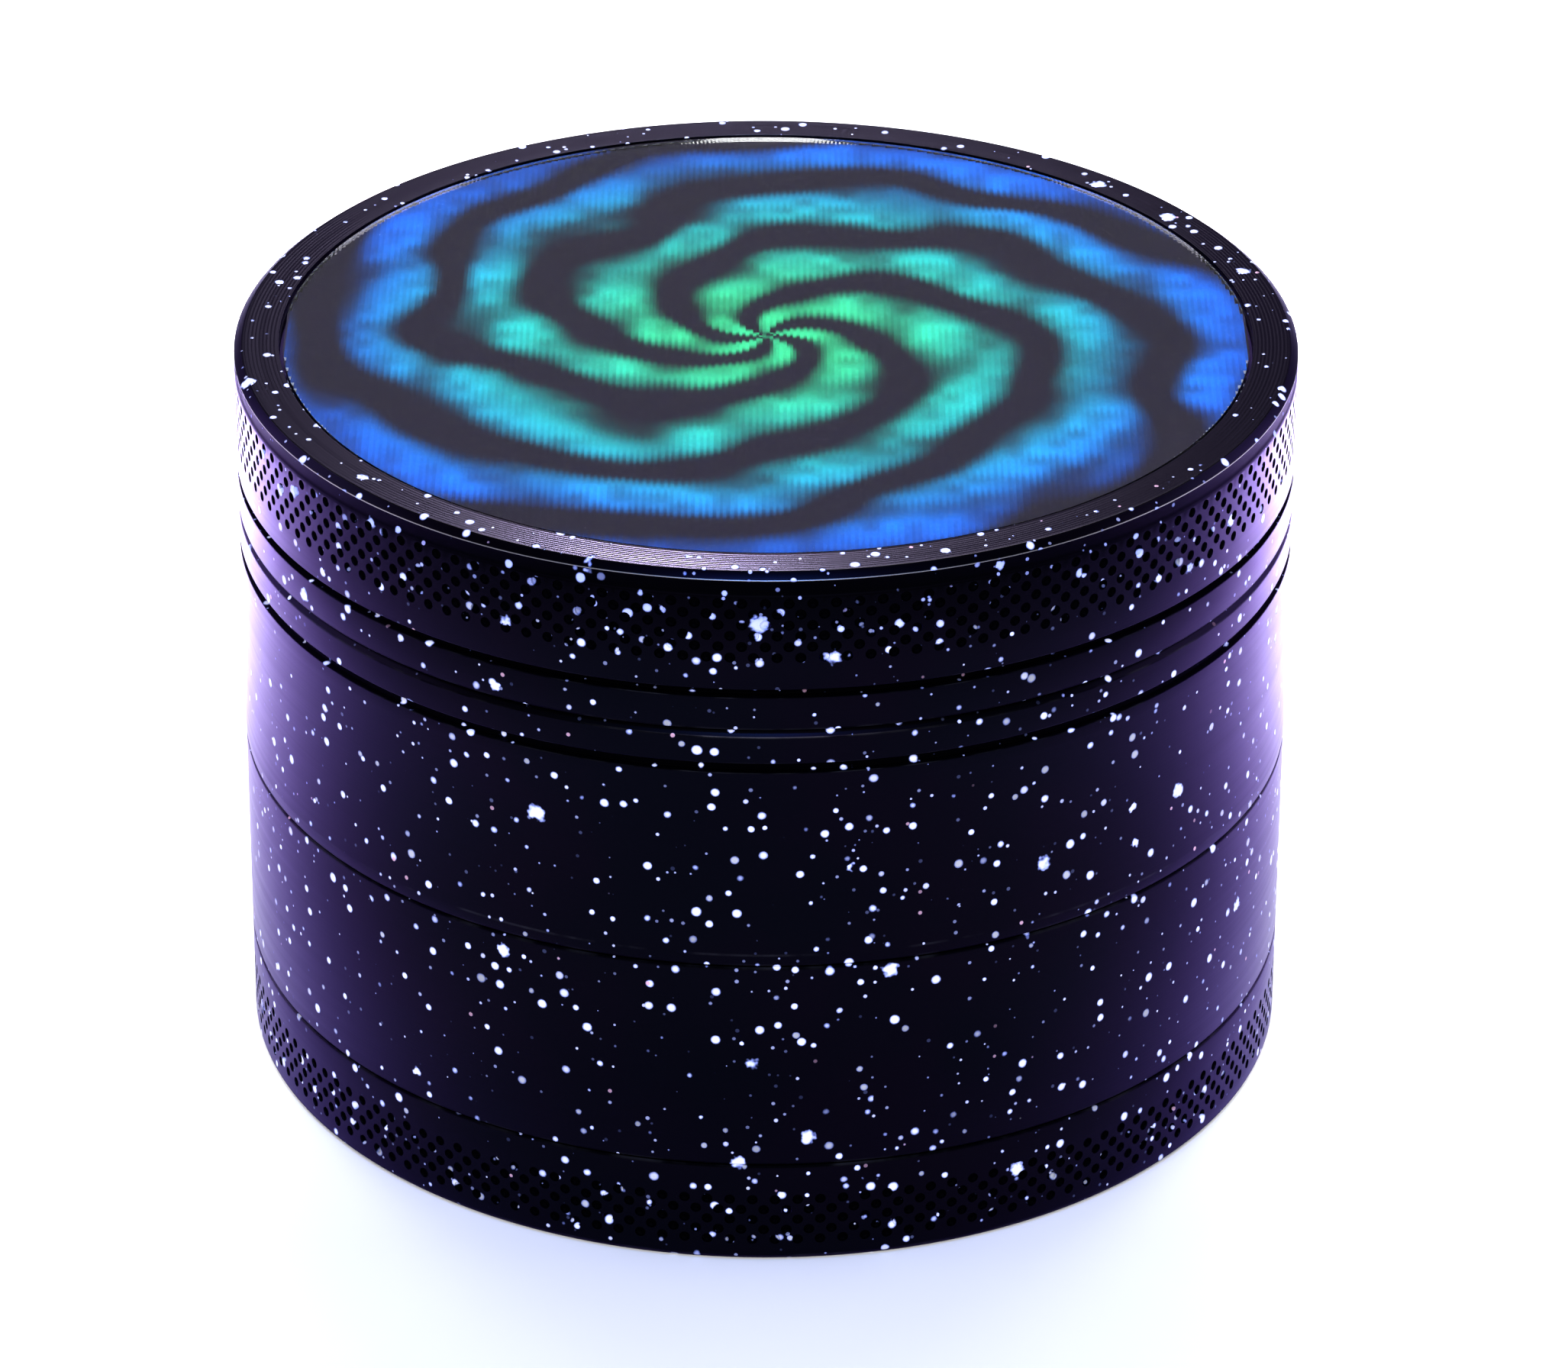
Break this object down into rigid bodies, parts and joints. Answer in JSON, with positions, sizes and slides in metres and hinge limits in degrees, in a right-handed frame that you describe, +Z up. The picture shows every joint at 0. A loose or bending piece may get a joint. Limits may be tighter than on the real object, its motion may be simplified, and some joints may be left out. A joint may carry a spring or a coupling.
{
  "type": "four-piece herb grinder",
  "caption": "Round hand grinder: a toothed lid turns on a toothed chamber with a perforated floor, over a screened storage chamber and a pollen catcher.",
  "frame": {"origin": "centre of the pollen catcher's underside, where the grinder stands on a table", "axes": "+Z up along the common axis of all the turned pieces, towards the lid; the axis is the joint axis of every joint"},
  "size_m": [0.063, 0.063, 0.045],
  "materials": {
    "coated_metal": "satin",
    "stainless_wire": "satin",
    "bare_aluminium": "satin",
    "nickel_plate": "polished",
    "nylon": "satin",
    "adhesive": "matte",
    "printed_card": "satin",
    "clear_plastic": "gloss"
  },
  "bodies": {
    "catcher": {"pollen_catcher": "coated_metal"},
    "storage_screw": {"screen_retaining_ring": "bare_aluminium"},
    "storage": {"storage_chamber": "coated_metal", "screen_mesh": "stainless_wire"},
    "grinder_screw": {"chamber_magnet": "nickel_plate"},
    "grinder": {"grinding_chamber": "coated_metal", "chamber_floor": "coated_metal"},
    "lid_lifter": {"lid_glide_ring": "nylon"},
    "lid": {"lid_shell": "coated_metal", "lid_plate": "coated_metal", "lid_magnet": "nickel_plate", "picture_adhesive_disc": "adhesive", "picture_print": "printed_card", "picture_lens_sheet": "clear_plastic"}
  },
  "joints": [
    {"name": "storage_rise", "type": "slide", "parent": "catcher", "child": "storage_screw", "axis": [0, 0, 1], "range_m": [0, 0.0015]},
    {"name": "storage_unscrew", "type": "hinge", "parent": "storage_screw", "child": "storage", "pos_m": [0, 0, 0.0065], "axis": [0, 0, 1], "range_deg": [0, 380]},
    {"name": "grinder_rise", "type": "slide", "parent": "storage", "child": "grinder_screw", "axis": [0, 0, 1], "range_m": [0, 0.0025]},
    {"name": "grinder_unscrew", "type": "hinge", "parent": "grinder_screw", "child": "grinder", "pos_m": [0, 0, 0.0198], "axis": [0, 0, 1], "range_deg": [0, 630]},
    {"name": "lid_lift", "type": "slide", "parent": "grinder", "child": "lid_lifter", "axis": [0, 0, 1], "range_m": [0, 0.03]},
    {"name": "lid_turn", "type": "hinge", "parent": "lid_lifter", "child": "lid", "pos_m": [0, 0, 0.0351], "axis": [0, 0, 1], "continuous": true}
  ],
  "couplings": [
    {"joint": "storage_rise", "follows": "storage_unscrew", "m_per_rad": 0.00022282},
    {"joint": "grinder_rise", "follows": "grinder_unscrew", "m_per_rad": 0.00022282}
  ]
}
